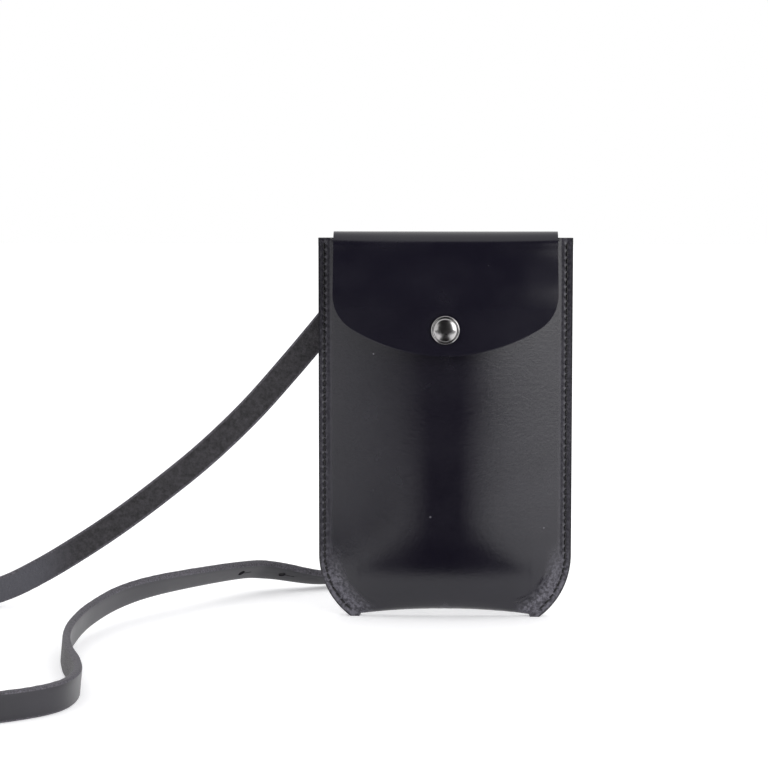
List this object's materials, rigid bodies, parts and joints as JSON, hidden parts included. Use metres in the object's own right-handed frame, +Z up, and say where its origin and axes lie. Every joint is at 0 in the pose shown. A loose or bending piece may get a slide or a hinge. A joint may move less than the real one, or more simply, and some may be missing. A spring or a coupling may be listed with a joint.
{
  "type": "leather ever ready case",
  "caption": "Slim sewn leather pouch with a dome front, a fold-over flap closed by a press stud, and a long flat strap riveted to its back.",
  "frame": {"origin": "on the floor, under the middle of the pouch's sewn edges and thickness", "axes": "+X across the pouch to its right seen from the front, the front faces -Y, +Z up to the flap's fold"},
  "size_m": [0.3521, 0.3059, 0.1715],
  "materials": {
    "leather": "smooth black grain with a soft sheen",
    "strap_leather": "grain on one side, suede flesh on the other",
    "thread": "waxed black thread",
    "nickel": "polished nickel plate",
    "steel": "plain zinc-plated steel"
  },
  "bodies": {
    "pouch": {"front_panel": "leather", "back_panel": "leather", "flap_fold": "leather", "needle_thread_left": "thread", "needle_thread_right": "thread", "bobbin_thread_left": "thread", "bobbin_thread_right": "thread", "snap_stud": "nickel", "snap_post": "steel", "strap": "strap_leather", "strap_end_left": "strap_leather", "strap_end_right": "strap_leather", "rivet_cap": "nickel", "rivet_post": "steel", "rivet_washer": "steel", "collar_stud": "nickel", "collar_screw": "steel", "collar_washer": "steel"},
    "flap": {"flap": "leather", "snap_cap": "nickel", "snap_socket": "steel", "snap_spring": "nickel"}
  },
  "joints": [
    {"name": "flap_hinge", "type": "hinge", "parent": "pouch", "child": "flap", "pos_m": [0, 0.0012, 0.164], "axis": [-1, 0, 0], "range_deg": [0, 180], "deforming": ["flap_fold", "snap_spring"]}
  ]
}
